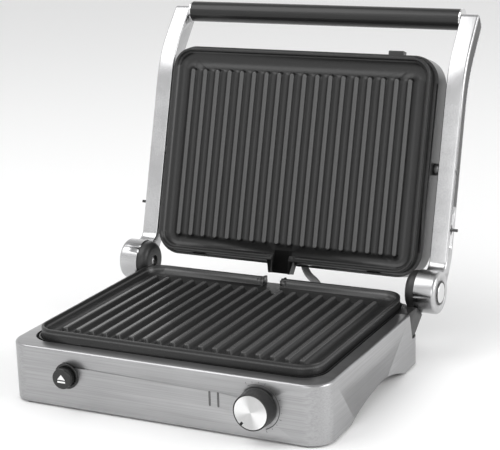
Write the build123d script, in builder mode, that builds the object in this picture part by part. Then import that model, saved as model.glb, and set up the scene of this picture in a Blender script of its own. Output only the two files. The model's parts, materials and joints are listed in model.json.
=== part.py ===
from build123d import *
import os
from math import cos, pi, radians, sin, sqrt, tan

# Contact grill (panini press): a steel base with a ribbed plate, and a lid with a
# matching plate that hangs between two cast arms. +Z is up, +X is to the right of
# the user, +Y goes to the rear. Millimetres. The origin is under the middle of the
# open grill, on the surface that it stands on.

os.makedirs("parts", exist_ok=True)

# ---- driving dimensions -------------------------------------------------------
front_y = -190.9           # front face of the base

base_width = 325.0
base_depth = 243.0
base_bottom = 2.0
deck_height = 57.5
base_corner = 22.0
steel = 1.5                # wall of the steel shell
cover_z = 16.0             # underside of the bottom cover

hinge_back = 254.9         # hinge axis behind the front face
hinge_z = 67.4
barrel_radius = 21.4
barrel_inner = 156.4
barrel_outer = 178.0
ear_radius = 20.4
ear_inner = 145.5
ear_outer = 156.1
pin_radius = 6.0
running = 0.06             # radial clearance of a shaft in its bearing

rib_count = 18
rib_pitch = 14.5
rib_length = 178.2
rib_height = 4.5
rib_width = 7.6
rim_height = 3.4           # plate rim above the rib tops
plate_width = 290.0
plate_corner = 20.0
lower_far = 198.0          # plate edges from the hinge-side rib ends: handle side
upper_far = 200.3
lower_near = -27.5         # and hinge side
upper_near = -17.0
lower_spout = 6.5          # drain spout beyond the hinge-side edge
upper_spout = 13.0
skirt_bottom = -9.6

lower_ribs_back = 218.2    # hinge-side rib ends of the lower plate
lower_ribs_z = 63.9
upper_ribs_back = 268.7    # hinge-side rib ends of the upper plate, lid open
upper_ribs_z = 95.8
lid_angle = 73.68          # lid above lying flat behind the base

housing_width = 302.0
housing_near = -21.0
housing_far = 203.2
housing_front = -7.0
housing_back = -40.0
housing_corner = 27.0
housing_wall = 1.8
pivot_s = 90.9             # lid pivot along the lid, and behind the rib tops
pivot_n = -20.0
pivot_radius = 4.0

arm_inner = 156.3
arm_outer = 175.0
arm_front = -14.0
arm_back = -30.0
handle_s = 247.0
handle_n = -49.5
grip_radius = 11.0
lock_s = 31.6              # rest place of the height locks along the arm
lock_travel = 12.0

dial_x = 98.7
dial_z = 31.5
button_x = -97.0
button_z = 33.0
lamp_x = (51.5, 60.0)
lamp_z = 32.4

cable_radius = 3.8

# ---- frames of reference ------------------------------------------------------
hinge_y = front_y + hinge_back
lean = radians(lid_angle)
along = (0, cos(lean), sin(lean))        # from the hinge side to the handle side
outward = (0, -sin(lean), cos(lean))     # out of the upper plate's face

# both plates use the same local axes: x across, y away from the hinge, z out of the face
lower_frame = Plane(origin=(0, front_y + lower_ribs_back, lower_ribs_z), x_dir=(-1, 0, 0), z_dir=(0, 0, 1))
upper_frame = Plane(origin=(0, front_y + upper_ribs_back, upper_ribs_z), x_dir=(1, 0, 0), z_dir=outward)


def back(distance):
    """Y of a place this far behind the front face."""
    return front_y + distance


def in_lid(y, z):
    """Distance along the lid and out of its face, of a place at this Y and Z."""
    dy = y - front_y - upper_ribs_back
    dz = z - upper_ribs_z
    return dy * along[1] + dz * along[2], dy * outward[1] + dz * outward[2]


def save(piece, name, frame=Plane.XY):
    """Move a finished piece to its frame, label it and write it."""
    piece.part = piece.part.moved(frame.location)
    piece.part.label = name
    export_step(piece.part, "parts/" + name + ".step")


hinge_s, hinge_n = in_lid(hinge_y, hinge_z)


# ---- grill plates: one design with its own margins and spout --------------------
def outline(level, width, near, far, corner):
    """Rounded rectangle across a plate or a pan, at this level of its own frame."""
    with BuildSketch(Plane.XY.offset(level)) as shape:
        with Locations((0, (near + far) / 2)):
            RectangleRounded(width, far - near, corner)
    return shape.sketch


def edges_at(piece, level):
    return piece.edges().filter_by_position(Axis.Z, level - 0.01, level + 0.01)


def grill_plate(near, far, spout):
    floor = -rib_height
    rim_width = 2.5
    skirt_wall = 6
    with BuildPart() as plate:
        add(outline(skirt_bottom, plate_width, near, far, plate_corner))
        extrude(amount=rim_height - skirt_bottom)
        # basin: the rim's inner wall leans in towards the cooking floor
        add(outline(rim_height, plate_width - 2 * rim_width, near + rim_width, far - rim_width,
                    plate_corner - rim_width))
        extrude(amount=-(rim_height - floor), taper=28, mode=Mode.SUBTRACT)
        fillet(edges_at(plate, rim_height), radius=1.0)
        # hollow underside
        add(outline(skirt_bottom, plate_width - 2 * skirt_wall, near + skirt_wall, far - skirt_wall,
                    plate_corner - skirt_wall))
        extrude(amount=1.8, mode=Mode.SUBTRACT)
        # drain spout through the hinge-side rim
        tip = near - spout
        with BuildSketch(Plane.XY.offset(skirt_bottom)):
            with BuildLine():
                Polyline((-16, near + 6), (16, near + 6), (12, tip), (-12, tip), close=True)
            make_face()
        extrude(amount=rim_height - 1.2 - skirt_bottom)
        with BuildSketch(Plane.XY.offset(floor - 0.6)):
            with Locations((0, near - 4)):
                Rectangle(20, 30)
        extrude(amount=20, mode=Mode.SUBTRACT)
        # two locating lugs on the hinge side and the catch lug on the handle side
        with BuildSketch(Plane.XY.offset(skirt_bottom)):
            with Locations((-100, near - 0.8), (100, near - 0.8)):
                Rectangle(13, 2.4)
            with Locations((100, far)):
                Rectangle(16, 1.6)
        extrude(amount=3.0)
        # ribs with sloping sides and rounded crests
        with BuildSketch(Plane.XY.offset(floor - 0.2)):
            with Locations((0, rib_length / 2)):
                with GridLocations(rib_pitch, 1, rib_count, 1):
                    SlotOverall(rib_length + 3.4, rib_width, rotation=90)
        extrude(amount=rib_height + 0.2, taper=20)
        fillet(edges_at(plate, 0), radius=1.2)
    return plate


save(grill_plate(lower_near, lower_far, lower_spout), "lower_grill_plate", lower_frame)
save(grill_plate(upper_near, upper_far, upper_spout), "upper_grill_plate", upper_frame)


# ---- heating set under each plate: pan, reflector, element, clips and sensor ----
tray_width = 297.0
flange_top = -10.0
flange_bottom = -12.0
pan_bottom = -26.0
pan_inset = 11.5           # pan wall from the flange's edge
pan_wall = 1.5
tray_corner = 24.0
dish_floor = pan_bottom + pan_wall
sheet = 0.8                # reflector
element_radius = 3.2
element_level = -11.5
element_x = 115.0
element_inner_x = 30.0


def tray(low, high, lip):
    inside = pan_inset + pan_wall
    with BuildPart() as pan:
        add(outline(flange_bottom, tray_width, low, high, tray_corner))
        extrude(amount=flange_top - flange_bottom)
        add(outline(pan_bottom, tray_width - 2 * pan_inset, low + pan_inset, high - pan_inset, 12))
        extrude(amount=flange_bottom - pan_bottom)
        add(outline(dish_floor, tray_width - 2 * inside, low + inside, high - inside, 10.5))
        extrude(amount=20, mode=Mode.SUBTRACT)
        if lip:
            add(outline(flange_top, tray_width, low, high, tray_corner))
            extrude(amount=lip)
            add(outline(flange_top, tray_width - 3, low + 1.5, high - 1.5, tray_corner - 1.5))
            extrude(amount=lip, mode=Mode.SUBTRACT)
            # the lip is open at the spout and at the two locating lugs
            with BuildSketch(Plane.XY.offset(flange_top + 0.3)):
                with Locations((0, low)):
                    Rectangle(34, 8)
                with Locations((-100, low), (100, low)):
                    Rectangle(15, 8)
            extrude(amount=lip, mode=Mode.SUBTRACT)
    return pan


def reflector(low, high):
    inset = pan_inset + 3
    width = tray_width - 2 * inset
    with BuildPart() as dish:
        add(outline(dish_floor, width, low + inset, high - inset, 9))
        extrude(amount=7.5)
        add(outline(dish_floor + sheet, width - 2 * sheet, low + inset + sheet, high - inset - sheet, 8))
        extrude(amount=7.5, mode=Mode.SUBTRACT)
    return dish


def heating_element(near, far):
    start = near + 22
    turn = near + 52
    top = far - 38
    with BuildPart() as element:
        with BuildLine(Plane.XY.offset(element_level)):
            FilletPolyline((-element_inner_x, start), (-element_inner_x, turn), (-element_x, turn),
                           (-element_x, top), (element_x, top), (element_x, turn),
                           (element_inner_x, turn), (element_inner_x, start), radius=14)
        with BuildSketch(Plane(origin=(-element_inner_x, start, element_level), z_dir=(0, 1, 0))):
            Circle(element_radius)
        sweep()
    return element


def element_clips(near, far):
    foot = dish_floor + sheet
    with BuildPart() as clips:
        with BuildSketch(Plane.XY.offset(foot)):
            with Locations([(x, y) for x in (-element_x, element_x) for y in (near + 80, far - 70)]):
                Rectangle(9, 12)
        extrude(amount=element_level - element_radius - 0.1 - foot)
    return clips


def temperature_sensor():
    foot = dish_floor + sheet
    with BuildPart() as cup:
        with BuildSketch(Plane.XY.offset(foot)):
            with Locations((0, rib_length / 2)):
                Circle(7)
        extrude(amount=10)
        with BuildSketch(Plane.XY.offset(foot + 10)):
            with Locations((0, rib_length / 2)):
                Circle(9)
        extrude(amount=skirt_bottom + 1.4 - foot - 10)
    return cup


for side, frame, low, high, lip in (("lower", lower_frame, -30.4, 200.6, 3.2),
                                    ("upper", upper_frame, -18.7, 200.9, 0)):
    save(tray(low, high, lip), side + "_tray", frame)
    save(reflector(low, high), side + "_reflector", frame)
    save(heating_element(low, high), side + "_heating_element", frame)
    save(element_clips(low, high), side + "_element_clips", frame)
    save(temperature_sensor(), side + "_temperature_sensor", frame)


# ---- base: steel shell -----------------------------------------------------------
front_frame = Plane(origin=(0, front_y, 0), x_dir=(1, 0, 0), z_dir=(0, -1, 0))
base_side = Plane(origin=(0, front_y, 0), x_dir=(0, 1, 0), z_dir=(1, 0, 0))
base_middle = back(base_depth / 2)
deck_open = 15.6           # steel strip ahead of the plate opening
wall_end = 208.0           # where the full-height side walls end

with BuildPart() as base_housing:
    with BuildSketch(Plane.XY.offset(base_bottom)):
        with Locations((0, base_middle)):
            RectangleRounded(base_width, base_depth, base_corner)
    extrude(amount=deck_height - base_bottom)
    fillet(base_housing.faces().sort_by(Axis.Z)[-1].edges(), radius=2.5)
    with BuildSketch(Plane.XY.offset(base_bottom)):
        with Locations((0, base_middle)):
            RectangleRounded(base_width - 2 * steel, base_depth - 2 * steel, base_corner - steel)
    extrude(amount=deck_height - base_bottom - steel, mode=Mode.SUBTRACT)
    with BuildSketch(Plane.XY.offset(deck_height - 3)):
        with Locations((0, back(deck_open + 150))):
            RectangleRounded(300, 300, 23)
    extrude(amount=10, mode=Mode.SUBTRACT)
    # the side walls step down at the back, where the hinge brackets rise
    with BuildSketch(base_side.offset(-base_width)):
        with BuildLine():
            Polyline((wall_end, 70), (wall_end, deck_height), (216, 30), (260, 30), (260, 70), close=True)
        make_face()
    extrude(amount=2 * base_width, mode=Mode.SUBTRACT)
    # the rear wall is open for the rear cover
    with BuildSketch(Plane.XY):
        with Locations((0, back(base_depth))):
            Rectangle(290, 20)
    extrude(amount=40, mode=Mode.SUBTRACT)
    # arched lower edge between the front and the rear foot
    with BuildSketch(base_side.offset(-base_width)):
        with BuildLine():
            arch = Spline((52, -1), (74, 7.6), (106, 13.6), (145, 15.5), (175, 9), (203, -1))
            Line(arch @ 1, arch @ 0)
        make_face()
    extrude(amount=2 * base_width, mode=Mode.SUBTRACT)
    # openings for the button, the dial and the two lamps
    with BuildSketch(front_frame.offset(5)):
        with Locations((button_x, button_z)):
            Circle(11.0)
        with Locations((dial_x, dial_z)):
            Circle(5.2)
        with Locations([(x, lamp_z) for x in lamp_x]):
            SlotOverall(14.2, 2.2, rotation=90)
    extrude(amount=-15, mode=Mode.SUBTRACT)
save(base_housing, "base_housing")

foot_places = [(x, back(y)) for x in (-138, 138) for y in (27, 216)]
screw_places = [(x, back(y)) for x in (-153.5, 153.5) for y in (32, 118, 198)]

with BuildPart() as bottom_cover:
    with BuildSketch(Plane.XY.offset(cover_z)):
        with Locations((0, base_middle - 3)):
            RectangleRounded(319, base_depth - 12, base_corner - 4)
    extrude(amount=2)
    with BuildSketch(Plane.XY.offset(4)):
        with Locations(foot_places):
            Circle(12)
    extrude(amount=cover_z - 4)
    with BuildSketch(Plane.XY.offset(4)):
        with Locations(foot_places):
            Circle(3.1)
    extrude(amount=8, mode=Mode.SUBTRACT)
    with BuildSketch(Plane.XY.offset(cover_z)):
        with Locations(screw_places):
            Circle(2)
    extrude(amount=2, mode=Mode.SUBTRACT)
save(bottom_cover, "bottom_cover")

with BuildPart() as feet:
    with BuildSketch():
        with Locations(foot_places):
            Circle(10)
    extrude(amount=4)
    fillet(feet.faces().group_by(Axis.Z)[0].edges(), radius=1)
    with BuildSketch(Plane.XY.offset(4)):
        with Locations(foot_places):
            Circle(3)
    extrude(amount=6)
save(feet, "feet")

with BuildPart() as deck_posts:
    with BuildSketch(Plane.XY.offset(cover_z + 2)):
        with Locations(screw_places):
            Circle(4.5)
            Circle(1.7, mode=Mode.SUBTRACT)
    extrude(amount=30 - cover_z - 2)
save(deck_posts, "deck_posts")

with BuildPart() as base_screws:
    with BuildSketch(Plane.XY.offset(cover_z - 2)):
        with Locations(screw_places):
            Circle(3.4)
            RegularPolygon(1.3, 6, mode=Mode.SUBTRACT)
    extrude(amount=2)
    with BuildSketch(Plane.XY.offset(cover_z - 0.6)):
        with Locations(screw_places):
            Circle(1.6)
    extrude(amount=12)
save(base_screws, "base_screws")


# ---- rear cover with the tray slot, the drain chute and the cable outlet ---------
cover_front = 239.0
cover_rear = 260.0
cover_top = 50.5
cover_low = 18.2
cover_half = 143.5
cover_wall = 2.0
tray_half = 75.0
tray_front = 176.0
tray_low = 19.6
tray_top = 36.4
gland = (-104.0, 34.0)     # X and Z of the mains lead's way in

# the lid's supply lead, from inside the lid to inside the rear cover
cable_route = [(12, 296.3, 79.6), (13.8, 291.2, 70.6), (19.5, 286, 63.6), (27.5, 277.5, 61.2),
               (36.5, 269, 60.6), (45, 261, 57), (52, 250.5, 42.4)]
cable_points = [Vector(x, back(y), z) for x, y, z in cable_route]
outlet_run = cable_points[-1] - cable_points[-2]
outlet_frame = Plane(origin=cable_points[-2] + outlet_run * 0.3, z_dir=outlet_run)

with BuildPart() as rear_cover:
    with BuildSketch(Plane.XY.offset(cover_low)):
        with Locations((0, back((cover_front + cover_rear) / 2))):
            Rectangle(2 * cover_half, cover_rear - cover_front)
    extrude(amount=cover_top - cover_low)
    fillet(rear_cover.edges().filter_by(Axis.Z).group_by(Axis.Y)[-1], radius=8)
    fillet(rear_cover.faces().sort_by(Axis.Z)[-1].edges().group_by(Axis.Y)[-1], radius=1.5)
    with BuildSketch(Plane.XY.offset(cover_low)):
        with Locations((0, back((cover_front + cover_rear) / 2 - cover_wall))):
            Rectangle(2 * (cover_half - cover_wall), cover_rear - cover_front)
    extrude(amount=cover_top - cover_low - cover_wall, mode=Mode.SUBTRACT)
    with BuildSketch(Plane.XY.offset(cover_low)):
        with Locations((0, back(cover_rear))):
            Rectangle(2 * tray_half + 1.6, 10)
    extrude(amount=tray_top + 0.6 - cover_low, mode=Mode.SUBTRACT)
    # drain chute under the spout
    with BuildSketch(Plane.XY.offset(cover_top - 5)):
        with Locations((0, back(251.6))):
            Rectangle(36, 9)
    extrude(amount=10, mode=Mode.SUBTRACT)
    # mains gland, and the slanting outlet of the lid's lead
    with BuildSketch(front_frame.offset(-cover_rear - 5)):
        with Locations(gland):
            Circle(6.5)
    extrude(amount=10, mode=Mode.SUBTRACT)
    with BuildSketch(outlet_frame.offset(-5)):
        Circle(5.4)
    extrude(amount=17, mode=Mode.SUBTRACT)
save(rear_cover, "rear_cover")

with BuildPart() as cable_outlet:
    with BuildSketch(outlet_frame):
        Circle(5.3)
        Circle(cable_radius + 0.1, mode=Mode.SUBTRACT)
    extrude(amount=9)
save(cable_outlet, "cable_outlet")

with BuildPart() as drip_tray:
    with BuildSketch(Plane.XY.offset(tray_low)):
        with Locations((0, back((tray_front + cover_rear) / 2))):
            Rectangle(2 * tray_half, cover_rear - tray_front)
    extrude(amount=tray_top - tray_low)
    fillet(drip_tray.edges().filter_by(Axis.Z).group_by(Axis.Y)[0], radius=6)
    with BuildSketch(Plane.XY.offset(tray_low + 1.8)):
        with Locations((0, back((tray_front + cover_rear) / 2))):
            RectangleRounded(2 * tray_half - 3.6, cover_rear - tray_front - 3.6, 4)
    extrude(amount=20, mode=Mode.SUBTRACT)
    # finger lip along the rear
    with BuildSketch(Plane.XY.offset(tray_low)):
        with Locations((0, back(cover_rear + 0.7))):
            RectangleRounded(70, 2.6, 1.2)
    extrude(amount=9)
save(drip_tray, "drip_tray")

with BuildPart() as mains_gland:
    with BuildSketch(front_frame.offset(-cover_rear + 12)):
        with Locations(gland):
            Circle(6.4)
    extrude(amount=-12)
    with BuildSketch(front_frame.offset(-cover_rear)):
        with Locations(gland):
            Circle(9)
    extrude(amount=-2)
    fillet(mains_gland.faces().sort_by(Axis.Y)[-1].edges(), radius=1)
    with BuildSketch(front_frame.offset(-cover_rear + 12)):
        with Locations(gland):
            Circle(3.6)
    extrude(amount=-20, mode=Mode.SUBTRACT)
save(mains_gland, "mains_gland")

with BuildPart() as terminal_block:
    with BuildSketch(Plane.XY.offset(cover_z + 2)):
        with Locations((-104, back(218))):
            Rectangle(34, 16)
    extrude(amount=12)
    with BuildSketch(Plane.XY.offset(cover_z + 14)):
        with Locations((-104, back(218))):
            with GridLocations(10, 1, 3, 1):
                Circle(2.6)
    extrude(amount=-6, mode=Mode.SUBTRACT)
save(terminal_block, "terminal_block")


# ---- hinge brackets and pins -----------------------------------------------------
for name, sign in (("left", -1), ("right", 1)):
    inner = min(sign * ear_inner, sign * ear_outer)
    neck = min(sign * 149.2, sign * ear_outer)
    strut = min(sign * 149.2, sign * 160.7)
    with BuildPart() as hinge_bracket:
        # domed ear round the hinge axis
        with BuildSketch(base_side.offset(inner)):
            with Locations((hinge_back, hinge_z)):
                Circle(ear_radius)
        extrude(amount=ear_outer - ear_inner)
        faces = hinge_bracket.faces().filter_by(GeomType.PLANE).sort_by(Axis.X)
        fillet(faces[0 if sign > 0 else -1].edges(), radius=7)
        # neck down to the base, inside the arm
        with BuildSketch(base_side.offset(neck)):
            with BuildLine():
                Polyline((204, 55.5), (236, 55.5), (238, 72), (254, 60), (270, 55), (262, 44), (246, 31),
                         (226, 31), (220, 22), (204, 22), close=True)
            make_face()
        extrude(amount=ear_outer - 149.2)
        # strut that shows between the side wall and the barrel
        with BuildSketch(base_side.offset(strut)):
            with BuildLine():
                Polyline((208.8, 57.3), (232, 57.3), (249, 45), (230, 33), (222, 31), (218, 25), (204, 25),
                         (204, 55.5), (208.8, 55.5), close=True)
            make_face()
            with Locations((hinge_back, hinge_z)):
                Circle(22.2, mode=Mode.SUBTRACT)
        extrude(amount=160.7 - 149.2)
        with BuildSketch(base_side.offset(inner)):
            with Locations((hinge_back, hinge_z)):
                Circle(pin_radius + 0.02)
        extrude(amount=ear_outer - ear_inner, mode=Mode.SUBTRACT)
    save(hinge_bracket, "hinge_bracket_" + name)

pin_inner = 147.6
pin_outer = 168.0
with BuildPart() as hinge_pins:
    for low in (pin_inner, -pin_outer):
        with BuildSketch(base_side.offset(low)):
            with Locations((hinge_back, hinge_z)):
                Circle(pin_radius)
        extrude(amount=pin_outer - pin_inner)
save(hinge_pins, "hinge_pins")


# ---- front controls --------------------------------------------------------------
with BuildPart() as button_bezel:
    with BuildSketch(front_frame.offset(-5)):
        with Locations((button_x, button_z)):
            Circle(10.8)
    extrude(amount=5)
    with BuildSketch(front_frame):
        with Locations((button_x, button_z)):
            Circle(12.4)
    extrude(amount=1.8)
    fillet(button_bezel.faces().sort_by(Axis.Y)[0].edges(), radius=0.8)
    with BuildSketch(front_frame.offset(-5)):
        with Locations((button_x, button_z)):
            Circle(10.3)
    extrude(amount=10, mode=Mode.SUBTRACT)
save(button_bezel, "button_bezel")

with BuildPart() as release_button:
    with BuildSketch(front_frame.offset(-4)):
        with Locations((button_x, button_z)):
            Circle(9.9)
    extrude(amount=14)
    fillet(release_button.faces().sort_by(Axis.Y)[0].edges(), radius=1.2)
    with BuildSketch(front_frame.offset(-11)):
        with Locations((button_x, button_z)):
            Circle(3)
    extrude(amount=7)
save(release_button, "release_button")

with BuildPart() as release_latch:
    with BuildSketch(front_frame.offset(-13)):
        with Locations((button_x, 38.5)):
            Rectangle(26, 23)
    extrude(amount=2)
save(release_latch, "release_latch")

with BuildPart() as dial_body:
    with BuildSketch(front_frame.offset(0.8)):
        with Locations((dial_x, dial_z)):
            Circle(18.0)
    extrude(amount=14.1, taper=4.5)
    with BuildSketch(front_frame.offset(14.4)):
        with Locations((dial_x, dial_z)):
            Circle(15.7)
    extrude(amount=2, mode=Mode.SUBTRACT)
    with BuildSketch(front_frame):
        with Locations((dial_x, dial_z)):
            Circle(3.02)
    extrude(amount=12, mode=Mode.SUBTRACT)
save(dial_body, "dial_body")

index_angle = 231
with BuildPart() as dial_cap:
    with BuildSketch(front_frame.offset(14.4)):
        with Locations((dial_x, dial_z)):
            Circle(15.6)
            with PolarLocations(14.4, 1, start_angle=index_angle):
                Rectangle(3.8, 2.4, mode=Mode.SUBTRACT)
    extrude(amount=0.7)
save(dial_cap, "dial_cap")

with BuildPart() as thermostat_shaft:
    with BuildSketch(front_frame.offset(-12)):
        with Locations((dial_x, dial_z)):
            Circle(3)
    extrude(amount=23.5)
save(thermostat_shaft, "thermostat_shaft")

with BuildPart() as thermostat:
    with BuildSketch(front_frame.offset(-23)):
        with Locations((dial_x, dial_z + 1)):
            Rectangle(36, 26)
    extrude(amount=16)
    with BuildSketch(front_frame.offset(-7)):
        with Locations((dial_x, dial_z)):
            Circle(5)
    extrude(amount=7.2)
    with BuildSketch(front_frame.offset(-13)):
        with Locations((dial_x, dial_z)):
            Circle(3 + running)
    extrude(amount=20, mode=Mode.SUBTRACT)
save(thermostat, "thermostat")

with BuildPart() as indicator_lenses:
    with BuildSketch(front_frame.offset(-4)):
        with Locations([(x, lamp_z) for x in lamp_x]):
            SlotOverall(14.0, 2.0, rotation=90)
    extrude(amount=4.1)
save(indicator_lenses, "indicator_lenses")

with BuildPart() as indicator_lamps:
    with BuildSketch(front_frame.offset(-8.4)):
        with Locations([(x, lamp_z) for x in lamp_x]):
            Circle(2.2)
    extrude(amount=4.2)
save(indicator_lamps, "indicator_lamps")

with BuildPart() as indicator_board:
    with BuildSketch(front_frame.offset(-10)):
        with Locations((sum(lamp_x) / 2, lamp_z)):
            Rectangle(26, 22)
    extrude(amount=1.6)
save(indicator_board, "indicator_board")


# ---- arms, with the barrels that turn on the hinge pins --------------------------
# From here on pieces are drawn lying flat, y along the lid and z out of its face, and
# then moved to the open lid's frame.
slit_angles = {"left": 53, "right": 104}
hinge_place = (hinge_s, hinge_n)
inlay_low = 52.0           # lower end of the inlay, above the height lock's slot
inlay_depth = 1.3
arm_corners = (((194, arm_front), 120), ((182, arm_back), 130), ((257, -43.6), 6), ((241, -57.2), 5))
heel = (0, arm_back)       # where the arm's back turns towards the barrel


def arm_profile(x):
    """Side profile of an arm on the plane across X. Its lower end lies inside the barrel."""
    # a hollow arc leads from the arm's front face into the barrel
    hollow = 11.0
    arc_n = arm_front + hollow
    arc_s = hinge_s + sqrt((barrel_radius + hollow) ** 2 - (arc_n - hinge_n) ** 2)
    share = (barrel_radius - 0.3) / (barrel_radius + hollow)
    foot = (hinge_s + share * (arc_s - hinge_s), hinge_n + share * (arc_n - hinge_n))
    with BuildSketch(Plane.YZ.offset(x)) as profile:
        with BuildLine():
            TangentArc((arc_s, arm_front), foot, tangent=(-1, 0))
            Polyline(foot, (hinge_s, hinge_n), (hinge_s - 7.6, hinge_n - 19.4), heel,
                     (182, arm_back), (241, -57.2), (257, -43.6), (194, arm_front), (arc_s, arm_front))
        make_face()
        for place, radius in (*arm_corners, (heel, 40)):
            fillet(profile.vertices().sort_by_distance((*place, 0))[0], radius=radius)
    return profile.sketch


def inlay_outline(x, gap):
    with BuildSketch(Plane.YZ.offset(x)) as strip:
        with BuildLine():
            Polyline((inlay_low + gap, arm_back), (inlay_low + gap, arm_front), (194, arm_front),
                     (257, -43.6), (241, -57.2), (182, arm_back), close=True)
        make_face()
        for place, radius in arm_corners:
            fillet(strip.vertices().sort_by_distance((*place, 0))[0], radius=radius)
        offset(amount=-3.2 - gap)
    return strip.sketch


for name, sign in (("left", -1), ("right", 1)):
    outer_face = Plane.YZ.offset(sign * arm_outer)
    barrel_face = Plane.YZ.offset(sign * barrel_outer)
    with BuildPart() as arm:
        add(arm_profile(sign * arm_inner))
        extrude(amount=arm_outer - arm_inner, dir=(sign, 0, 0))
        ends = arm.faces().filter_by(Axis.X).sort_by(Axis.X)
        fillet(ends[-1 if sign > 0 else 0].edges(), radius=2.2)
        fillet(arm.faces().filter_by(Axis.X).sort_by(Axis.X)[0 if sign > 0 else -1].edges(), radius=1.2)
        with BuildSketch(Plane.YZ.offset(sign * barrel_inner)):
            with Locations(hinge_place):
                Circle(barrel_radius)
        extrude(amount=sign * (barrel_outer - barrel_inner))
        fillet(arm.faces().filter_by(Axis.X).sort_by(Axis.X)[-1 if sign > 0 else 0].edges(), radius=3.5)
        # slit along the barrel
        with BuildSketch(Plane.YZ.offset(sign * barrel_inner)):
            with Locations(hinge_place):
                with PolarLocations(barrel_radius, 1, start_angle=slit_angles[name]):
                    Rectangle(2, 1.3)
        extrude(amount=sign * 18, mode=Mode.SUBTRACT)
        # bore for the bush, and the wider seat of the ring or cap at the outer end
        with BuildSketch(Plane.YZ.offset(sign * arm_inner)):
            with Locations(hinge_place):
                Circle(8)
        extrude(amount=sign * 12.7, mode=Mode.SUBTRACT)
        with BuildSketch(barrel_face):
            with Locations(hinge_place):
                Circle(11.8)
        extrude(amount=-sign * 7.8, mode=Mode.SUBTRACT)
        # recess of the inlay, slot of the height lock
        add(inlay_outline(sign * arm_outer, 0))
        extrude(amount=inlay_depth, dir=(-sign, 0, 0), mode=Mode.SUBTRACT)
        with BuildSketch(outer_face):
            with Locations((lock_s, pivot_n)):
                SlotOverall(38, 6)
        extrude(amount=-sign * 6, mode=Mode.SUBTRACT)
        # bores of the pivot pin and of the handle rod with its screw
        with BuildSketch(Plane.YZ.offset(sign * arm_inner)):
            with Locations((pivot_s, pivot_n), (handle_s, handle_n)):
                Circle(pivot_radius)
        extrude(amount=sign * 3, mode=Mode.SUBTRACT)
        with BuildSketch(outer_face):
            with Locations((pivot_s, pivot_n)):
                Circle(pivot_radius)
            with Locations((handle_s, handle_n)):
                Circle(2.5)
        extrude(amount=-sign * 20, mode=Mode.SUBTRACT)
        with BuildSketch(outer_face):
            with Locations((pivot_s, pivot_n)):
                Circle(5.1)
        extrude(amount=-sign * inlay_depth, mode=Mode.SUBTRACT)
        with BuildSketch(outer_face):
            with Locations((handle_s, handle_n)):
                Circle(4.6)
        extrude(amount=-sign * 5, mode=Mode.SUBTRACT)
    save(arm, "arm_" + name, upper_frame)

    with BuildPart() as arm_inlay:
        add(inlay_outline(sign * arm_outer, 0.05))
        extrude(amount=inlay_depth, dir=(-sign, 0, 0))
        with BuildSketch(outer_face):
            with Locations((pivot_s, pivot_n)):
                Circle(5.1)
        extrude(amount=-sign * 5, mode=Mode.SUBTRACT)
    save(arm_inlay, "arm_inlay_" + name, upper_frame)

    with BuildPart() as height_lock:
        with BuildSketch(Plane.YZ.offset(sign * (arm_outer - 5.8))):
            with Locations((lock_s, pivot_n)):
                SlotOverall(10, 5.8)
        extrude(amount=sign * 5.2)
        with BuildSketch(Plane.YZ.offset(sign * (arm_outer - 3))):
            with Locations((lock_s, pivot_n)):
                Circle(1.5)
        extrude(amount=sign * 9)
    save(height_lock, "height_lock_" + name, upper_frame)


def along_x(radius, low, high, place, hollow=0):
    """Round bars or tubes along X at both ends, from X low to X high on each side."""
    with BuildPart() as pair:
        for sign in (-1, 1):
            with BuildSketch(Plane.YZ.offset(sign * low)):
                with Locations(place):
                    Circle(radius)
                    if hollow:
                        Circle(hollow, mode=Mode.SUBTRACT)
            extrude(amount=sign * (high - low))
    return pair


save(along_x(8, barrel_inner + 0.2, 169, hinge_place, pin_radius + running), "hinge_bushes", upper_frame)

with BuildPart() as hinge_ring:
    with BuildSketch(Plane.YZ.offset(170.4)):
        with Locations(hinge_place):
            Circle(11.7)
            Circle(10.3, mode=Mode.SUBTRACT)
    extrude(amount=8.0)
save(hinge_ring, "hinge_ring", upper_frame)

with BuildPart() as hinge_button:
    with BuildSketch(Plane.YZ.offset(172.8)):
        with Locations(hinge_place):
            Circle(10.2)
    extrude(amount=5.8)
    fillet(hinge_button.faces().sort_by(Axis.X)[-1].edges(), radius=0.8)
save(hinge_button, "hinge_button", upper_frame)

with BuildPart() as hinge_cap:
    with BuildSketch(Plane.YZ.offset(-178.4)):
        with Locations(hinge_place):
            Circle(11.7)
    extrude(amount=8)
    fillet(hinge_cap.faces().sort_by(Axis.X)[0].edges(), radius=0.8)
save(hinge_cap, "hinge_cap", upper_frame)

pivot_place = (pivot_s, pivot_n)
with BuildPart() as pivot_pins:
    for sign in (-1, 1):
        for radius, low, high in ((pivot_radius, 141.4, 174), (6.2, 151.5, 156.2), (4.9, 173.75, 174.9)):
            with BuildSketch(Plane.YZ.offset(sign * low)):
                with Locations(pivot_place):
                    Circle(radius)
            extrude(amount=sign * (high - low))
save(pivot_pins, "pivot_pins", upper_frame)

# ---- handle ----------------------------------------------------------------------
handle_place = (handle_s, handle_n)
collar_inner = 154.6
rod_end = arm_inner + 2.8

with BuildPart() as handle_grip:
    with BuildSketch(Plane.YZ.offset(-collar_inner)):
        with Locations(handle_place):
            Circle(grip_radius)
            Circle(pivot_radius, mode=Mode.SUBTRACT)
    extrude(amount=2 * collar_inner)
save(handle_grip, "handle_grip", upper_frame)

with BuildPart() as handle_rod:
    with BuildSketch(Plane.YZ.offset(-rod_end)):
        with Locations(handle_place):
            Circle(pivot_radius)
    extrude(amount=2 * rod_end)
    for sign in (-1, 1):
        with BuildSketch(Plane.YZ.offset(sign * rod_end)):
            with Locations(handle_place):
                Circle(2.4)
        extrude(amount=-sign * 10, mode=Mode.SUBTRACT)
save(handle_rod, "handle_rod", upper_frame)

save(along_x(grip_radius + 0.3, collar_inner, arm_inner, handle_place, pivot_radius), "handle_collars", upper_frame)

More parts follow.
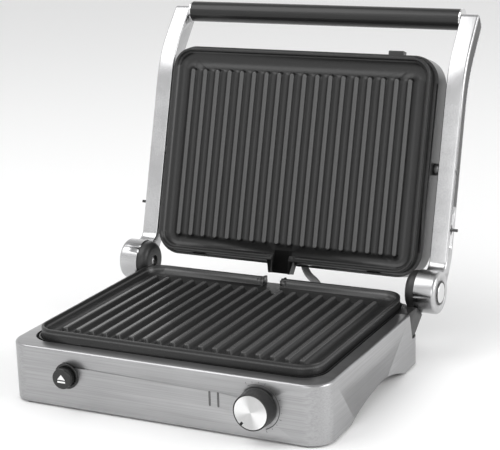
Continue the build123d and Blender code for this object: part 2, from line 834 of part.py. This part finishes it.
with BuildPart() as handle_screws:
    for sign in (-1, 1):
        for radius, low, high in ((2.4, rod_end - 9, 170.4), (4.4, 170, 173)):
            with BuildSketch(Plane.YZ.offset(sign * low)):
                with Locations(handle_place):
                    Circle(radius)
            extrude(amount=sign * (high - low))
save(handle_screws, "handle_screws", upper_frame)

# ---- lid housing -----------------------------------------------------------------
catch_x = 100.0
catch_n = -19.0
panel_width = 262.0
panel_near = -4.0
panel_far = 186.0
boss_inner = 140.6

with BuildPart() as upper_housing:
    add(outline(housing_back, housing_width, housing_near, housing_far, housing_corner))
    extrude(amount=housing_front - housing_back)
    fillet(edges_at(upper_housing, housing_back), radius=10)
    offset(amount=-housing_wall, openings=upper_housing.faces().sort_by(Axis.Z)[-1])
    # bosses and bores of the lid pivot
    for sign in (-1, 1):
        with BuildSketch(Plane.YZ.offset(sign * boss_inner)):
            with Locations((pivot_s, pivot_n)):
                Circle(7.4)
        extrude(amount=sign * (housing_width / 2 - housing_wall - boss_inner))
    with BuildSketch(Plane.YZ.offset(-housing_width)):
        with Locations((pivot_s, pivot_n)):
            Circle(pivot_radius + running)
    extrude(amount=2 * housing_width, mode=Mode.SUBTRACT)
    # seat of the steel panel
    add(outline(housing_back, panel_width + 0.2, panel_near - 0.1, panel_far + 0.1, 18))
    extrude(amount=0.6, mode=Mode.SUBTRACT)
    # notch of the plate's spout
    with BuildSketch(Plane.XY.offset(skirt_bottom - 0.8)):
        with Locations((0, housing_near)):
            Rectangle(33, 8)
    extrude(amount=10, mode=Mode.SUBTRACT)
    # slot of the supply lead on the hinge side, opening of the release button opposite
    with BuildSketch(Plane.XZ.offset(-housing_near - 5)):
        with Locations((16.5, -25)):
            RectangleRounded(19, 22, 4)
    extrude(amount=10, mode=Mode.SUBTRACT)
    with BuildSketch(Plane.XZ.offset(-housing_far - 5)):
        with Locations((catch_x, catch_n)):
            RectangleRounded(17.6, 10.2, 2)
    extrude(amount=10, mode=Mode.SUBTRACT)
save(upper_housing, "upper_housing", upper_frame)

with BuildPart() as lid_panel:
    add(outline(housing_back - 0.6, panel_width, panel_near, panel_far, 18))
    extrude(amount=1.2)
save(lid_panel, "lid_panel", upper_frame)

with BuildPart() as upper_release:
    with BuildSketch(Plane.XZ.offset(-208.3)):
        with Locations((catch_x, catch_n)):
            RectangleRounded(17, 9.6, 1.8)
    extrude(amount=15)
    fillet(upper_release.faces().sort_by(Axis.Y)[-1].edges(), radius=1)
    with BuildSketch(Plane.XZ.offset(-201)):
        with Locations((catch_x, catch_n)):
            Rectangle(21, 9.6)
    extrude(amount=3)
save(upper_release, "upper_release", upper_frame)


# ---- supply lead of the lid --------------------------------------------------------
def corner_radii(points):
    """Arc at each corner of a route: 0.45 of the shorter run over the tangent of half the turn."""
    radii = []
    for before, here, after in zip(points, points[1:], points[2:]):
        turn = (here - before).get_angle(after - here)
        run = min((here - before).length, (after - here).length)
        radii.append(0.45 * run / tan(radians(turn / 2)))
    return radii


lead_radii = corner_radii(cable_points)
print("lid cable radii", [round(radius, 1) for radius in lead_radii])
with BuildPart() as lid_cable:
    with BuildLine() as lead:
        FilletPolyline(*cable_points, radius=lead_radii)
    with BuildSketch(Plane(origin=lead.line @ 0, z_dir=lead.line % 0)):
        Circle(cable_radius)
    sweep()
save(lid_cable, "lid_cable")
lead_length = sum(edge.length for edge in lead.edges())
print("lid cable length", round(lead_length, 1), "volume ratio",
      round(lid_cable.part.volume / (pi * cable_radius ** 2 * lead_length), 4))
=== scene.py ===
import json
from math import cos, pi, radians, sin

import bmesh
import bpy
import numpy as np
from mathutils import Matrix, Vector

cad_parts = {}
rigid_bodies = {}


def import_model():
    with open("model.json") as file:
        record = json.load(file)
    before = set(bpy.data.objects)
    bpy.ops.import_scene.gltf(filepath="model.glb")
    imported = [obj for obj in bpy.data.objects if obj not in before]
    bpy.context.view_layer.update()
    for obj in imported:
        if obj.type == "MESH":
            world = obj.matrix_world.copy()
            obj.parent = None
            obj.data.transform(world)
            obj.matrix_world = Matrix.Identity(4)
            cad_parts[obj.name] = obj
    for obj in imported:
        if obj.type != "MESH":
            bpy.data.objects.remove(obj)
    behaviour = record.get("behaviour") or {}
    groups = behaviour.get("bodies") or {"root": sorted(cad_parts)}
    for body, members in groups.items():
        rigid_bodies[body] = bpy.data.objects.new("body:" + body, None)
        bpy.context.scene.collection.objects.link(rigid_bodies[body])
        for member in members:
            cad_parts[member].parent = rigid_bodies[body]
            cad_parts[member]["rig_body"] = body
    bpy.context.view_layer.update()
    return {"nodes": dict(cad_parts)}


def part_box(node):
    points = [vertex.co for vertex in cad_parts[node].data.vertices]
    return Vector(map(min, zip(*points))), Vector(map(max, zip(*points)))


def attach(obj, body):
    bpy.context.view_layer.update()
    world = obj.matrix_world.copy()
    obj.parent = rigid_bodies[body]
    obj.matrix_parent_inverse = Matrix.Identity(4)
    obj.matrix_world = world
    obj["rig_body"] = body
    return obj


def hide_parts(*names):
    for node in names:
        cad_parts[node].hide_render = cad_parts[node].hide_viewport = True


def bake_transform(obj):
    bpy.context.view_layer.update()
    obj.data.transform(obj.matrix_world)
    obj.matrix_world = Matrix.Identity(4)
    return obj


# Open contact grill: steel base, ribbed plates, lid between two cast arms.
# Everything is in metres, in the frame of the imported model.

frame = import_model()
nodes = frame["nodes"]
mm = 0.001
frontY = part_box("base_housing")[0].y  # the control face
print("frame loaded,", len(nodes), "nodes")


# camera
camera = {
    "place": (0.64296, -1.29331, 0.53047),
    "turn": 26.36,  # degrees, to the left of straight ahead
    "tilt": 15.236,  # degrees, down
    "roll": -1.8,
    "lens": 109.09,
}


def makeCamera(spec):
    turn, tilt, roll = (radians(spec[key]) for key in ("turn", "tilt", "roll"))
    ahead = Vector((-sin(turn) * cos(tilt), cos(turn) * cos(tilt), -sin(tilt)))
    right = ahead.cross(Vector((0, 0, 1))).normalized()
    up = right.cross(ahead)
    across = right * cos(roll) + up * sin(roll)
    upright = up * cos(roll) - right * sin(roll)
    data = bpy.data.cameras.new("camera")
    data.lens = spec["lens"]
    data.sensor_width = 36
    data.sensor_fit = "HORIZONTAL"
    data.clip_end = 50
    item = bpy.data.objects.new("camera", data)
    bpy.context.scene.collection.objects.link(item)
    turned = Matrix((across, upright, -ahead)).transposed().to_4x4()
    item.matrix_world = Matrix.Translation(spec["place"]) @ turned
    bpy.context.scene.camera = item


makeCamera(camera)


# meshes
def meshPiece(name, points, faces, smooth=True):
    mesh = bpy.data.meshes.new(name)
    mesh.from_pydata(np.asarray(points, float).reshape(-1, 3).tolist(), [], faces)
    mesh.update()
    if smooth:
        mesh.shade_smooth()
    item = bpy.data.objects.new(name, mesh)
    bpy.context.scene.collection.objects.link(item)
    return item


def gridFaces(rows, columns, wrapColumns=False):
    # quads of a grid of rows by columns points, row after row
    across = columns if wrapColumns else columns - 1
    r, c = np.meshgrid(np.arange(rows - 1), np.arange(across), indexing="ij")
    a = r * columns + c
    b = r * columns + (c + 1) % columns
    return np.stack([a, b, b + columns, a + columns], -1).reshape(-1, 4).tolist()


def smoothCopy(name, angle=35):
    # the node's own triangles, joined and shaded smooth up to this angle between faces
    source = nodes[name]
    mesh = source.data.copy()
    work = bmesh.new()
    work.from_mesh(mesh)
    bmesh.ops.remove_doubles(work, verts=work.verts, dist=2e-6)
    work.to_mesh(mesh)
    work.free()
    mesh.shade_smooth()
    mesh.set_sharp_from_angle(angle=radians(angle))
    item = bpy.data.objects.new(name + "_skin", mesh)
    bpy.context.scene.collection.objects.link(item)
    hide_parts(name)
    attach(item, source["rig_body"])
    return item


# lead between base and lid
lead = {
    "diameter": 7.6,
    "route": [(12, 296.3, 79.6), (13.8, 291.2, 70.6), (19.5, 286, 63.6), (27.5, 277.5, 61.2),
              (36.5, 269, 60.6), (45, 261, 57), (52, 250.5, 42.4)],  # mm, y from the front face
}


def makeLead(spec):
    route = [Vector((x * mm, frontY + y * mm, z * mm)) for x, y, z in spec["route"]]
    curve = bpy.data.curves.new("leadLine", "CURVE")
    curve.dimensions = "3D"
    spline = curve.splines.new("NURBS")
    spline.points.add(len(route) - 1)
    for point, place in zip(spline.points, route):
        point.co = (*place, 1)
    spline.order_u = 3
    spline.use_endpoint_u = True
    spline.resolution_u = 12
    line = bpy.data.objects.new("leadLine", curve)
    bpy.context.scene.collection.objects.link(line)
    bpy.context.view_layer.update()
    graph = bpy.context.evaluated_depsgraph_get()
    centre = bpy.data.meshes.new_from_object(line.evaluated_get(graph))
    path = np.array([v.co for v in centre.vertices])
    bpy.data.objects.remove(line)
    # tube: a ring of points round each point of the line, square to its direction
    step = np.gradient(path, axis=0)
    step /= np.linalg.norm(step, axis=1)[:, None]
    side = np.cross(step, (1.0, 0.0, 0.0))
    side /= np.linalg.norm(side, axis=1)[:, None]
    other = np.cross(step, side)
    sides = 28
    around = np.linspace(0, 2 * pi, sides, endpoint=False)
    ring = np.cos(around)[None, :, None] * side[:, None] + np.sin(around)[None, :, None] * other[:, None]
    points = path[:, None] + ring * spec["diameter"] / 2 * mm
    faces = gridFaces(len(path), sides, True)
    faces += [list(range(sides))[::-1], [(len(path) - 1) * sides + k for k in range(sides)]]
    item = meshPiece("lidLead", points, faces)
    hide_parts("lid_cable")
    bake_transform(item)
    return item


lidLead = makeLead(lead)
print("lead made")


# shader expressions
class Wire:
    # one value in a node tree; an expression on it adds Math nodes
    def __init__(self, tree, socket):
        self.tree = tree
        self.socket = socket

    def math(self, kind, *others):
        return self.tree.add("ShaderNodeMath", {"operation": kind}, self, *others)

    def __add__(self, other):
        return self.math("ADD", other)

    def __radd__(self, other):
        return self.math("ADD", other)

    def __sub__(self, other):
        return self.math("SUBTRACT", other)

    def __rsub__(self, other):
        return self.tree.add("ShaderNodeMath", {"operation": "SUBTRACT"}, other, self)

    def __mul__(self, other):
        return self.math("MULTIPLY", other)

    def __rmul__(self, other):
        return self.math("MULTIPLY", other)

    def step(self, low, high):
        # 0 below low, 1 above high, smooth between
        return self.tree.add("ShaderNodeMapRange", {"interpolation_type": "SMOOTHSTEP"}, self, low, high)


class Tree:
    def __init__(self, name):
        self.material = bpy.data.materials.new(name)
        self.material.use_nodes = True
        self.nodes = self.material.node_tree.nodes
        self.links = self.material.node_tree.links
        self.shader = self.nodes["Principled BSDF"]

    def put(self, target, value):
        if isinstance(value, Wire):
            self.links.new(value.socket, target)
        else:
            target.default_value = value

    def add(self, kind, settings, *values, out=0, **named):
        node = self.nodes.new(kind)
        for key, value in settings.items():
            setattr(node, key, value)
        for target, value in zip(node.inputs, values):
            self.put(target, value)
        for key, value in named.items():
            self.put(node.inputs[key], value)
        return Wire(self, node.outputs[out])

    def place(self, scale=(1, 1, 1), turned=(0, 0, 0)):
        spot = self.add("ShaderNodeTexCoord", {}, out="Object")
        return self.add("ShaderNodeMapping", {}, spot, (0, 0, 0), turned, scale)

    def noise(self, scale, detail=2.0, stretch=(1, 1, 1), turned=(0, 0, 0)):
        return self.add("ShaderNodeTexNoise", {}, Vector=self.place(stretch, turned), Scale=scale, Detail=detail)

    def mix(self, share, first, second):
        node = self.nodes.new("ShaderNodeMix")
        node.data_type = "RGBA"
        for target, value in zip((node.inputs[0], node.inputs[6], node.inputs[7]), (share, first, second)):
            self.put(target, value)
        return Wire(self, node.outputs[2])

    def bump(self, height, depth, strength=1.0):
        self.put(self.shader.inputs["Normal"],
                 self.add("ShaderNodeBump", {}, Strength=strength, Distance=depth, Height=height, out="Normal"))

    def fixed(self, **values):
        for key, value in values.items():
            self.shader.inputs[key.replace("_", " ")].default_value = value


def grey(level, tint=0.0):
    return (level, level, level * (1 + tint), 1)


# finishes
steelSpec = {"dark": 0.33, "light": 0.42, "rough": 0.32, "spread": 0.10, "lines": 900, "depth": 0.000012}
castSpec = {"dark": 0.44, "light": 0.54, "rough": 0.27, "spread": 0.10, "grain": 2600, "depth": 0.00001}
# non-stick coat: the rib-top grey is a painted highlight laid on the rib tops
coatSpec = {"dark": 0.009, "light": 0.017, "fleck": 0.16, "crestHighlight": 0.085, "fleckSize": 1500, "grain": 1900,
            "rough": 0.36, "depth": 0.00006}
# where the rib tops of each plate lie, for the painted highlight on them: a point on them and the direction they
# face
lidLean = radians(73.68)
plateTops = {"lower": ((0, frontY + 218.2 * mm, 63.9 * mm), (0, 0, 1)),
             "upper": ((0, frontY + 268.7 * mm, 95.8 * mm), (0, -sin(lidLean), cos(lidLean)))}


def brushed(name, spec, alongY=False):
    # fine lines along X on the front and the deck, and along Y on the two ends
    tree = Tree(name)
    facing = tree.add("ShaderNodeNewGeometry", {}, out="Normal")
    sideways = tree.add("ShaderNodeSeparateXYZ", {}, facing, out="X").math("ABSOLUTE").step(0.5, 0.8)
    long = tree.noise(spec["lines"], 3, (0.012, 1, 1))
    ends = tree.noise(spec["lines"], 3, (1, 0.012, 1))
    lines = long * (1 - sideways) + ends * sideways
    cloud = tree.noise(14, 2)
    tone = lines * 0.7 + cloud * 0.3
    tree.put(tree.shader.inputs["Base Color"],
             tree.mix(tone.step(0.3, 0.7), grey(spec["dark"], 0.012), grey(spec["light"], 0.012)))
    tree.put(tree.shader.inputs["Roughness"], spec["rough"] + (tone - 0.5) * spec["spread"])
    tree.bump(lines, spec["depth"])
    tree.fixed(Metallic=1.0)
    return tree.material


def cast(name, spec):
    tree = Tree(name)
    grain = tree.noise(spec["grain"], 2)
    cloud = tree.noise(30, 2)
    tone = grain * 0.5 + cloud * 0.5
    tree.put(tree.shader.inputs["Base Color"],
             tree.mix(tone.step(0.35, 0.65), grey(spec["dark"], 0.01), grey(spec["light"], 0.01)))
    tree.put(tree.shader.inputs["Roughness"], spec["rough"] + (tone - 0.5) * spec["spread"])
    tree.bump(grain, spec["depth"])
    tree.fixed(Metallic=1.0)
    return tree.material


def nonStick(name, spec, top):
    # charcoal coating with pale mineral flecks, a faint orange-peel surface, and rib tops lightened in the colour
    # as a painted highlight and made a little smoother
    tree = Tree(name)
    spot = tree.add("ShaderNodeTexCoord", {}, out="Object")
    above = tree.add("ShaderNodeVectorMath", {"operation": "DOT_PRODUCT"},
                     tree.add("ShaderNodeVectorMath", {"operation": "SUBTRACT"}, spot, top[0]), top[1], out="Value")
    # painted highlight: a mask of the band at the rib tops, where the colour is lightened and the roughness lowered
    crestHighlight = above.step(-1.4 * mm, -0.1 * mm) * (1 - above.step(0.2 * mm, 1.2 * mm))
    cells = tree.add("ShaderNodeTexVoronoi", {}, Vector=tree.place(), Scale=spec["fleckSize"], out="Distance")
    chance = tree.noise(spec["fleckSize"] * 0.6, 1)
    flecks = (1 - cells.step(0.10, 0.26)) * chance.step(0.54, 0.62)
    grain = tree.noise(spec["grain"], 2)
    cloud = tree.noise(22, 3)
    base = tree.mix(grain * 0.6 + cloud * 0.4, grey(spec["dark"]), grey(spec["light"]))
    # painted highlight: the rib tops mixed towards a lighter grey
    crestLit = tree.mix(crestHighlight * 0.8, base, grey(spec["crestHighlight"]))
    tree.put(tree.shader.inputs["Base Color"], tree.mix(flecks * 0.8, crestLit, grey(spec["fleck"])))
    tree.put(tree.shader.inputs["Roughness"], spec["rough"] + (grain - 0.5) * 0.18 - crestHighlight * 0.1)
    tree.bump(grain + flecks * 0.5, spec["depth"])
    tree.fixed(Specular_IOR_Level=0.45)
    return tree.material


def moulded(name, level, rough, grain=2200, depth=0.00003, metallic=0.0, tint=0.0, spread=0.25):
    tree = Tree(name)
    fine = tree.noise(grain, 2)
    cloud = tree.noise(25, 2)
    tone = fine * 0.5 + cloud * 0.5
    tree.put(tree.shader.inputs["Base Color"],
             tree.mix(tone.step(0.3, 0.7), grey(level * (1 - spread), tint), grey(level * (1 + spread), tint)))
    tree.put(tree.shader.inputs["Roughness"], rough + (tone - 0.5) * 0.12)
    tree.bump(fine, depth)
    tree.fixed(Metallic=metallic)
    return tree.material


def spun(name, centre, level, rough):
    # turned face: fine rings about the centre; the two fans of light that the grooves catch are painted into the
    # colour as a painted highlight
    tree = Tree(name)
    spot = tree.add("ShaderNodeTexCoord", {}, out="Object")
    x = tree.add("ShaderNodeSeparateXYZ", {}, spot, out="X") - centre[0]
    z = tree.add("ShaderNodeSeparateXYZ", {}, spot, out="Z") - centre[1]
    radius = (x * x + z * z).math("SQRT")
    rings = (radius * (2 * pi / 0.00035)).math("SINE")
    litFans = (z.math("ARCTAN2", x) * 2 + 0.9).math("COSINE")
    shade = litFans * 0.5 + 0.5
    # painted highlight: the two fans of light, mixed into the base colour between a darker and a lighter grey
    tree.put(tree.shader.inputs["Base Color"], tree.mix(shade.step(0.2, 0.95), grey(level * 0.62), grey(level)))
    tree.put(tree.shader.inputs["Roughness"], rough + rings * 0.03)
    tree.bump(rings, 0.00002)
    tree.fixed(Metallic=1.0)
    return tree.material


dialCentre = [sum(pair) / 2 for pair in zip(*[(c.x, c.z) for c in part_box("dial_cap")])]
finishes = {
    "steelShell": (brushed("steelShell", steelSpec), ["base_housing"]),
    "steelPanel": (brushed("steelPanel", dict(steelSpec, lines=1100)), ["lid_panel"]),
    "castSilver": (cast("castSilver", castSpec), ["arm_left", "arm_right", "hinge_cap"]),
    "lowerCoat": (nonStick("lowerCoat", coatSpec, plateTops["lower"]), ["lower_grill_plate"]),
    "upperCoat": (nonStick("upperCoat", coatSpec, plateTops["upper"]), ["upper_grill_plate"]),
    "lidShell": (moulded("lidShell", 0.022, 0.30, depth=0.00002), ["upper_housing", "upper_release"]),
    "blackCover": (moulded("blackCover", 0.016, 0.42), [
        "rear_cover", "hinge_bracket_left", "hinge_bracket_right", "drip_tray", "mains_gland",
        "cable_outlet", "deck_posts", "indicator_board", "terminal_block", "thermostat", "bottom_cover",
        "release_latch"]),
    "gripBlack": (moulded("gripBlack", 0.006, 0.33, grain=1500, depth=0.00002), ["handle_grip"]),
    "controlBlack": (moulded("controlBlack", 0.012, 0.26, grain=1800, depth=0.00001), [
        "button_bezel", "release_button", "dial_body", "hinge_ring", "height_lock_left", "height_lock_right"]),
    "inlayBlack": (moulded("inlayBlack", 0.03, 0.38), ["arm_inlay_left", "arm_inlay_right"]),
    "panSteel": (moulded("panSteel", 0.10, 0.35, metallic=1.0), ["lower_tray", "upper_tray"]),
    "platedSteel": (moulded("platedSteel", 0.55, 0.28, metallic=1.0, spread=0.1), [
        "hinge_pins", "handle_rod", "handle_screws", "base_screws", "thermostat_shaft",
        "lower_element_clips", "upper_element_clips", "lower_temperature_sensor", "upper_temperature_sensor"]),
    "darkPin": (moulded("darkPin", 0.12, 0.35, metallic=1.0), ["pivot_pins"]),
    "brightSheet": (moulded("brightSheet", 0.75, 0.2, metallic=1.0, spread=0.08), ["lower_reflector", "upper_reflector"]),
    "heaterSheath": (moulded("heaterSheath", 0.16, 0.45, metallic=1.0), ["lower_heating_element", "upper_heating_element"]),
    "polished": (moulded("polished", 0.8, 0.12, metallic=1.0, spread=0.05, depth=0.000004), ["handle_collars", "hinge_button"]),
    "bronze": (moulded("bronze", 0.35, 0.4, metallic=1.0, tint=-0.5), ["hinge_bushes"]),
    "footRubber": (moulded("footRubber", 0.02, 0.7), ["feet"]),
    "lampLens": (moulded("lampLens", 0.10, 0.25), ["indicator_lenses", "indicator_lamps"]),
    "spunCap": (spun("spunCap", dialCentre, 0.85, 0.24), ["dial_cap"]),
}
flatShaded = {"feet", "base_screws", "deck_posts", "terminal_block", "indicator_board"}
for finish, (material, names) in finishes.items():
    for name in names:
        item = nodes[name] if name in flatShaded else smoothCopy(name)
        item.data.materials.clear()
        item.data.materials.append(material)
sleeve = moulded("leadSleeve", 0.20, 0.4, grain=1400, depth=0.00005)
lidLead.data.materials.append(sleeve)
print("finishes given")


# printed marks
marks = {"proud": 0.06, "scaleRadius": 19.6, "ticks": 13, "from": 118, "to": -70}  # mm, degrees


def flatMark(name, outline, y, material, body):
    # a closed outline in X and Z as one thin face that looks towards the user
    points = [(x, y, z) for x, z in outline]
    item = meshPiece(name, points, [list(range(len(points)))], smooth=False)
    if item.data.polygons[0].normal.y > 0:
        item.data.flip_normals()
    item.data.materials.append(material)
    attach(item, body)
    return item


def arcBand(name, centre, inner, outer, start, stop, y, material, body):
    # ring sector: radius runs from inner to outer, angle from start to stop
    steps = 64
    angle = np.radians(np.linspace(start, stop, steps))
    share = np.linspace(0, 1, steps)
    low = np.full(steps, inner)
    high = inner + (outer - inner) * (0.25 + 0.75 * share)
    rim = np.stack([low, high])
    x = centre[0] + rim * np.cos(angle)
    z = centre[1] + rim * np.sin(angle)
    points = np.stack([x, np.full_like(x, y), z], -1)
    item = meshPiece(name, points, gridFaces(2, steps), smooth=False)
    if item.data.polygons[0].normal.y > 0:
        item.data.flip_normals()
    item.data.materials.append(material)
    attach(item, body)
    return item


printWhite = moulded("printWhite", 0.80, 0.5, depth=0.000002, spread=0.03)
printDark = moulded("printDark", 0.05, 0.5, depth=0.000002, spread=0.1)
scaleY = frontY - marks["proud"] * mm
radius = marks["scaleRadius"] * mm
arcBand("dialScaleArc", dialCentre, radius + 0.9 * mm, radius + 1.9 * mm, marks["from"], marks["to"],
        scaleY, printDark, "base")
for index, angle in enumerate(np.radians(np.linspace(marks["from"], marks["to"], marks["ticks"]))):
    out = np.array([cos(angle), sin(angle)])
    across = np.array([-out[1], out[0]]) * 0.22 * mm
    near, far = (np.array(dialCentre) + out * (radius + k * mm) for k in (2.6, 3.8 if index % 3 else 4.8))
    flatMark("dialTick%02d" % index, [near - across, far - across, far + across, near + across], scaleY,
             printDark, "base")

buttonLow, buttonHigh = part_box("release_button")
buttonX = (buttonLow.x + buttonHigh.x) / 2
buttonZ = (buttonLow.z + buttonHigh.z) / 2
faceY = buttonLow.y - marks["proud"] * mm
flatMark("openSymbolPeak", [(buttonX - 4.2 * mm, buttonZ - 0.6 * mm), (buttonX + 4.2 * mm, buttonZ - 0.6 * mm),
                            (buttonX, buttonZ + 4.4 * mm)], faceY, printWhite, "lower_release")
flatMark("openSymbolBar", [(buttonX - 4.2 * mm, buttonZ - 3.6 * mm), (buttonX + 4.2 * mm, buttonZ - 3.6 * mm),
                           (buttonX + 4.2 * mm, buttonZ - 1.9 * mm), (buttonX - 4.2 * mm, buttonZ - 1.9 * mm)],
         faceY, printWhite, "lower_release")
print("marks printed")


# studio
studio = {"floor": 0.95, "horizon": 1.15, "zenith": 0.5, "key": 20, "side": 26, "front": 8}


def makeStudio(spec):
    size = 6.0
    item = meshPiece("floor", [(-size, -size, 0), (size, -size, 0), (size, size, 0), (-size, size, 0)],
                     [[0, 1, 2, 3]], smooth=False)
    item.data.materials.append(moulded("paleFloor", spec["floor"], 0.6, depth=0.0, spread=0.0))
    world = bpy.data.worlds.new("studio")
    world.use_nodes = True
    links = world.node_tree.links
    backdrop = world.node_tree.nodes["Background"]
    seen = world.node_tree.nodes.new("ShaderNodeBackground")
    seen.inputs[0].default_value = (1, 1, 1, 1)
    backdrop.inputs[0].default_value = (1, 1, 1, 1)
    # bright towards the horizon, dimmer overhead
    facing = world.node_tree.nodes.new("ShaderNodeTexCoord")
    height = world.node_tree.nodes.new("ShaderNodeSeparateXYZ")
    fade = world.node_tree.nodes.new("ShaderNodeMapRange")
    for target, value in zip(fade.inputs[1:5], (0.15, 0.9, spec["horizon"], spec["zenith"])):
        target.default_value = value
    links.new(facing.outputs["Generated"], height.inputs[0])
    links.new(height.outputs["Z"], fade.inputs[0])
    links.new(fade.outputs[0], backdrop.inputs[1])
    path = world.node_tree.nodes.new("ShaderNodeLightPath")
    choose = world.node_tree.nodes.new("ShaderNodeMixShader")
    links.new(path.outputs["Is Camera Ray"], choose.inputs[0])
    links.new(backdrop.outputs[0], choose.inputs[1])
    links.new(seen.outputs[0], choose.inputs[2])
    links.new(choose.outputs[0], world.node_tree.nodes["World Output"].inputs[0])
    bpy.context.scene.world = world
    for name, place, aim, width, power in (
            ("keyLight", (-0.9, -0.7, 1.9), (0, 0, 0.1), 1.6, spec["key"]),
            ("sideLight", (2.2, 0.1, 1.1), (0, 0, 0.1), 1.4, spec["side"]),
            ("frontLight", (0.3, -2.4, 0.9), (0, 0, 0.1), 1.2, spec["front"])):
        data = bpy.data.lights.new(name, "AREA")
        data.size = width
        data.energy = power
        lamp = bpy.data.objects.new(name, data)
        lamp.location = place
        lamp.rotation_euler = (Vector(aim) - Vector(place)).to_track_quat("-Z", "Y").to_euler()
        bpy.context.scene.collection.objects.link(lamp)
    bpy.context.scene.view_settings.view_transform = "Standard"


makeStudio(studio)
print("studio set")
